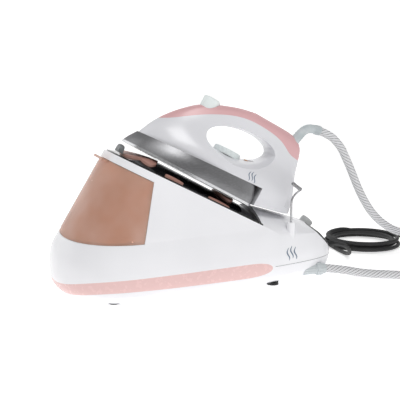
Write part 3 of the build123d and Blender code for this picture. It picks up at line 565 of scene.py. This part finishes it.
def makeBraid():
    # white braid with dark flecks: two families of strands crossing round the hose
    f = Finish("hoseBraid", tint(214, 214, 216), 0.85, Sheen_Weight=0.2)
    spot = f.add("ShaderNodeTexCoord")
    split = f.add("ShaderNodeSeparateXYZ")
    f.wire(spot.outputs["UV"], split.inputs["Vector"])

    def maths(kind, a, b=None):
        node = f.add("ShaderNodeMath", operation=kind)
        for socket, value in zip(node.inputs, (a, b)):
            if value is None:
                continue
            if isinstance(value, (int, float)):
                socket.default_value = value
            else:
                f.wire(value, socket)
        return node.outputs["Value"]

    aroundPart = maths("MULTIPLY", split.outputs["X"], hose["strands"])
    alongPart = maths("MULTIPLY", split.outputs["Y"], 1 / hose["pitch"])
    right = maths("FRACT", maths("ADD", aroundPart, alongPart))
    left = maths("FRACT", maths("SUBTRACT", aroundPart, alongPart))
    fleckRight = maths("LESS_THAN", right, hose["fleckWidth"])
    over = maths("LESS_THAN", maths("FRACT", maths("MULTIPLY", left, 2.0)), hose["fleckLength"])
    fleck = maths("MULTIPLY", fleckRight, over)
    colour = f.add("ShaderNodeMix", data_type="RGBA")
    colour.inputs["A"].default_value = tint(222, 222, 224)
    colour.inputs["B"].default_value = tint(58, 60, 66)
    f.wire(fleck, colour.inputs["Factor"])
    f.wire(colour.outputs["Result"], f.shader.inputs["Base Color"])
    weave = maths("MULTIPLY", maths("PINGPONG", right, 0.5), maths("PINGPONG", left, 0.5))
    f.bumpBy(weave, 0.8, 0.0012)
    return f.mat


def makeHose():
    coil = coilPoints(hose["coilCentre"], hose["coilRadius"], math.pi / 2, hose["turns"],
                      hose["coilTop"], hose["coilLow"])
    points = hose["start"] + hose["fall"] + coil + hose["back"]
    route = routeCurve("hoseRoute", points)
    line, length = readLine(route, hose["step"])
    bpy.data.objects.remove(route)
    radius = hose["diameter"] / 2

    def radiusAt(i, k, run):
        turn = k / hose["around"]
        a = (turn * hose["strands"] + run / hose["pitch"]) % 1
        b = (turn * hose["strands"] - run / hose["pitch"]) % 1
        swell = max(abs(math.sin(math.pi * a)), abs(math.sin(math.pi * b)))
        return radius - hose["strand"] + hose["strand"] * swell

    tube = sweepTube("steamHose", line, hose["around"], radiusAt)
    tube.data.materials.append(makeBraid())
    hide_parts("hose_riser", "hose_run", "hose_coil", "hose_return")
    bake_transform(tube)
    print("hose length", round(length, 3))


makeHose()

# mains lead
lead = dict(
    start=[(0.2212, 0.012, 0.037), (0.24, 0.015, 0.0335), (0.258, 0.028, 0.02), (0.27, 0.05, 0.007),
           (0.275, 0.082, 0.003)],
    coilCentre=(0.334, 0.125), radii=(0.0555, 0.0545), turns=4.25, low=0.003, high=0.0165,
    end=[(0.365, 0.18, 0.006), (0.395, 0.17, 0.003), (0.42, 0.15, 0.003), (0.437, 0.128, 0.009),
         (0.444, 0.104, 0.019)],
    diameter=0.006, length=1.8, wander=0.0062, wanderRate=7.3, wanderStart=0.4, ease=6, rise=0.97,
)


def makeLead():
    cx, cy = lead["coilCentre"]
    count = round(lead["turns"] * pointsPerTurn)
    coil = []
    for k in range(count + 1):
        t = k / count
        angle = math.pi - 2 * math.pi * lead["turns"] * t
        fade = min(1, lead["ease"] * t, lead["ease"] * (1 - t))
        wave = math.sin(lead["wanderRate"] * t * lead["turns"] / 4 + lead["wanderStart"])
        wander = lead["wander"] * wave * fade
        radius = lead["radii"][0] + (lead["radii"][1] - lead["radii"][0]) * t + wander
        z = lead["low"] + (lead["high"] - lead["low"]) * t * lead["rise"]
        coil.append((cx + radius * math.cos(angle), cy + radius * math.sin(angle), z))
    points = lead["start"] + coil + lead["end"]
    cord = routeCurve("mainsCord", points)
    cord.data.bevel_depth = lead["diameter"] / 2
    cord.data.bevel_resolution = 5
    cord.data.use_fill_caps = True
    cord.data.materials.append(finishes["rubber"])
    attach(cord, "base")
    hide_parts("mains_lead", "mains_coil", "mains_tail")
    length = readLine(cord, 0.01)[1]
    print("mains length", round(length, 3))


makeLead()

# room
room = dict(
    halfWidth=7.0, front=-6.0, bend=2.2, radius=0.9, top=3.2, steps=12, colour=tint(252, 252, 252),
    glow=0.5, world=0.34,
)


def makeRoom():
    # a floor that curves up into the back wall
    profile = [(room["front"], 0), (0, 0), (room["bend"], 0)]
    for k in range(1, room["steps"] + 1):
        angle = math.pi / 2 * k / room["steps"]
        y = room["bend"] + room["radius"] * math.sin(angle)
        profile.append((y, room["radius"] * (1 - math.cos(angle))))
    profile.append((room["bend"] + room["radius"], room["top"]))
    half = room["halfWidth"]
    verts = [(x, y, z) for y, z in profile for x in (-half, half)]
    faces = [(2 * k, 2 * k + 1, 2 * k + 3, 2 * k + 2) for k in range(len(profile) - 1)]
    floor = newMesh("floor", verts, faces)
    f = Finish("floorWhite", room["colour"], 0.8, Emission_Color=room["colour"],
               Emission_Strength=room["glow"])
    f.roughBy(f.noise(0.2, 2), 0.75, 0.85)
    floor.data.materials.append(f.mat)
    world = bpy.data.worlds.new("room")
    world.use_nodes = True
    world.node_tree.nodes["Background"].inputs["Color"].default_value = (1, 1, 1, 1)
    world.node_tree.nodes["Background"].inputs["Strength"].default_value = room["world"]
    bpy.context.scene.world = world
    bpy.context.scene.view_settings.view_transform = "Standard"


lamps = dict(
    key=dict(at=(0.05, -1.1, 1.7), size=0.8, power=13),
    fill=dict(at=(1.6, -1.2, 0.7), size=1.0, power=1.6),
    top=dict(at=(-0.9, 0.2, 1.4), size=0.8, power=2.5),
)


def makeLamps():
    for name, values in lamps.items():
        data = bpy.data.lights.new(name, "AREA")
        data.energy = values["power"]
        data.size = values["size"]
        lamp = link(bpy.data.objects.new(name, data))
        lamp.location = values["at"]
        lamp.rotation_mode = "QUATERNION"
        lamp.rotation_quaternion = (Vector((0, 0, 0.1)) - lamp.location).to_track_quat("-Z", "Y")


makeRoom()
makeLamps()
print("room ready")

# steam marks printed on the housing and the base
marks = dict(
    housing=dict(centre=onIron(0.171, -0.09, 0.0365), right=alongSole, up=aboveSole, height=0.0125,
                 node="iron_housing", body="iron"),
    base=dict(centre=Vector((0.118, -0.16, 0.047)), right=Vector((1, 0, 0)), up=Vector((0, 0, 1)), height=0.017,
              node="base_cover", body="base"),
    wisps=3, gap=0.36, sway=0.11, swayStart=0.6, width=0.13, raised=0.12, lift=0.00012, sink=0.0002, steps=26,
)


def makeMarks():
    for place in ("housing", "base"):
        m = marks[place]
        skin = skinOf(m["node"])
        for n in range(marks["wisps"]):
            rows = []
            for k in range(marks["steps"] + 1):
                t = k / marks["steps"]
                shift = (n - 1) * marks["gap"] + marks["sway"] * math.sin(2 * math.pi * t + marks["swayStart"])
                height = t - 0.5 + (marks["raised"] if n == 1 else 0)
                half = marks["width"] / 2 * math.sin(math.pi * min(1, max(0.02, t * 0.96 + 0.02))) ** 0.6
                spot = m["centre"] + m["right"] * shift * m["height"] + m["up"] * height * m["height"]
                ends = []
                for side in (-1, 1):
                    hit, normal = meet(skin, spot + m["right"] * side * half * m["height"], Vector((0, 1, 0)))
                    ends.append((hit, normal))
                if ends[0][0] and ends[1][0]:
                    rows.append((ends[0][0], ends[1][0], ends[0][1]))
            strip = ribbon("steamMark_" + place + "_" + str(n), rows, marks["lift"], marks["sink"])
            strip.data.materials.append(finishes["mark"])
            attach(strip, m["body"])


makeMarks()
print("marks printed")

# water standing in the tank
water = dict(axis=(-0.122, 0.0), low=0.0862, high=0.1495, inset=0.0005, around=96, levels=12, fallback=0.02)


def makeWater():
    skin = skinOf("water_tank")
    verts, faces = [], []
    for i in range(water["levels"] + 1):
        z = water["low"] + (water["high"] - water["low"]) * i / water["levels"]
        middle = Vector((*water["axis"], z))
        for k in range(water["around"]):
            angle = 2 * math.pi * k / water["around"]
            way = Vector((math.cos(angle), math.sin(angle), 0))
            spot = skin.ray_cast(middle, way)[0]
            reach = (spot - middle).length - water["inset"] if spot else water["fallback"]
            verts.append(middle + way * reach)
    n = water["around"]
    for i in range(water["levels"]):
        for k in range(n):
            faces.append((i * n + k, i * n + (k + 1) % n, (i + 1) * n + (k + 1) % n, (i + 1) * n + k))
    faces.append(tuple(reversed(range(n))))
    faces.append(tuple(water["levels"] * n + k for k in range(n)))
    body = newMesh("tankWater", verts, faces)
    split = body.modifiers.new("edges", "EDGE_SPLIT")
    split.split_angle = math.radians(35)
    f = Finish("waterTinted", tint(208, 156, 132), 0.15, Transmission_Weight=0.25, IOR=1.33)
    f.colourBy(f.noise(0.03, 2), tint(202, 148, 124), tint(214, 164, 142))
    f.roughBy(f.noise(0.01, 2), 0.12, 0.2)
    body.data.materials.append(f.mat)
    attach(body, "tank")


makeWater()
print("tank filled")

# hose holder: a wire stalk with a coil spring at its end
holder = dict(
    stalk=[(0.1216, -0.05, 0.0725), (0.1216, -0.05, 0.09), (0.1216, -0.05, 0.108), (0.1218, -0.05, 0.119),
           (0.1262, -0.05, 0.1262), (0.1332, -0.05, 0.1312), (0.1356, -0.05, 0.1322)],
    thick=0.0015, springFrom=(0.1356, -0.05, 0.1322), springTo=(0.1226, -0.05, 0.1422), springRadius=0.0021,
    springWire=0.0006, turns=11,
)


def makeHolder():
    stalk = routeCurve("holderStalk", holder["stalk"])
    stalk.data.bevel_depth = holder["thick"]
    stalk.data.bevel_resolution = 5
    stalk.data.use_fill_caps = True
    start, end = Vector(holder["springFrom"]), Vector(holder["springTo"])
    way = (end - start).normalized()
    side = way.cross(Vector((0, 1, 0))).normalized()
    up = way.cross(side)
    steps = holder["turns"] * pointsPerTurn
    points = []
    for k in range(steps + 1):
        angle = 2 * math.pi * k / pointsPerTurn
        outward = side * math.cos(angle) + up * math.sin(angle)
        points.append(start.lerp(end, k / steps) + outward * holder["springRadius"])
    spring = routeCurve("holderSpring", points)
    spring.data.bevel_depth = holder["springWire"]
    spring.data.bevel_resolution = 3
    spring.data.use_fill_caps = True
    for piece in (stalk, spring):
        piece.data.materials.append(finishes["steel"])
        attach(piece, "holder")
    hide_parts("holder_wire")


makeHolder()
print("holder made")

# painted shade: a thin grey line along the seam between tray and cover behind the accent band, standing in for
# the shade in the joint
seam = dict(middle=(0.02, 0.0), height=0.033, startX=0.089, radius=0.00028, steps=150, lift=0.00002)


def paintSeamShade():
    skin = skinOf("base_cover", "base_tray", "rear_panel")
    middle = Vector((*seam["middle"], seam["height"]))
    line = []
    for k in range(seam["steps"] + 1):
        angle = math.radians(-80 + 160 * k / seam["steps"])
        way = Vector((math.cos(angle), math.sin(angle), 0))
        hit, normal = meet(skin, middle + way * 0.5, -way)
        if hit and hit.x > seam["startX"]:
            line.append(hit + normal * seam["lift"])
    # a thin grey tube laid in the joint, its grey colour painted shade
    piece = sweepTube("seamShadeLine", line, 8, lambda i, k, run: seam["radius"])
    piece.data.materials.append(finishes["nub"])
    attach(piece, "base")


paintSeamShade()

# grip ribs down the back edge of the iron's body
ribs = dict(us=(0.2405, 0.2432, 0.2459, 0.2486), low=0.022, high=0.064, radius=0.00035, steps=30,
            reach=0.1, clearOfMiddle=0.01, fewest=8)


def makeRibs():
    skin = skinOf("iron_housing", "heel_cover", "handle_cover")
    for side, word in ((-1, "near"), (1, "far")):
        for n, u in enumerate(ribs["us"]):
            line = []
            for k in range(ribs["steps"] + 1):
                w = ribs["low"] + (ribs["high"] - ribs["low"]) * k / ribs["steps"]
                hit = meet(skin, onIron(u, ribs["reach"] * side, w), Vector((0, -side, 0)))[0]
                if hit and abs(hit.y) > ribs["clearOfMiddle"]:
                    line.append(hit)
            if len(line) < ribs["fewest"]:
                continue
            piece = sweepTube("backRib_" + word + "_" + str(n), line, 8, lambda i, k, run: ribs["radius"])
            piece.data.materials.append(finishes["housing"])
            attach(piece, "iron")


makeRibs()
print("seam and ribs made")

# heat dots on the dial: one, two and three round its edge
dial = dict(u=0.142, top=0.0573, ring=0.0135, dot=0.00085, lift=0.00012, sink=0.0001, around=16,
            groups=((205, 1), (255, 2), (305, 3)), spread=9)


def makeDots():
    verts, faces = [], []
    around = dial["around"]
    across = Vector((0, 1, 0))
    for middle, count in dial["groups"]:
        for n in range(count):
            angle = math.radians(middle + (n - (count - 1) / 2) * dial["spread"])
            u = dial["u"] + dial["ring"] * math.cos(angle)
            centre = onIron(u, dial["ring"] * math.sin(angle), dial["top"])
            base = len(verts)
            for level in (-dial["sink"], dial["lift"]):
                for k in range(around):
                    turn = 2 * math.pi * k / around
                    edge = alongSole * dial["dot"] * math.cos(turn) + across * dial["dot"] * math.sin(turn)
                    verts.append(centre + edge + aboveSole * level)
            for k in range(around):
                n2 = (k + 1) % around
                faces.append((base + k, base + n2, base + around + n2, base + around + k))
            faces.append(tuple(base + k for k in reversed(range(around))))
            faces.append(tuple(base + around + k for k in range(around)))
    piece = newMesh("dialDots", verts, faces, smooth=False)
    piece.data.materials.append(finishes["mark"])
    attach(piece, "dial")


makeDots()
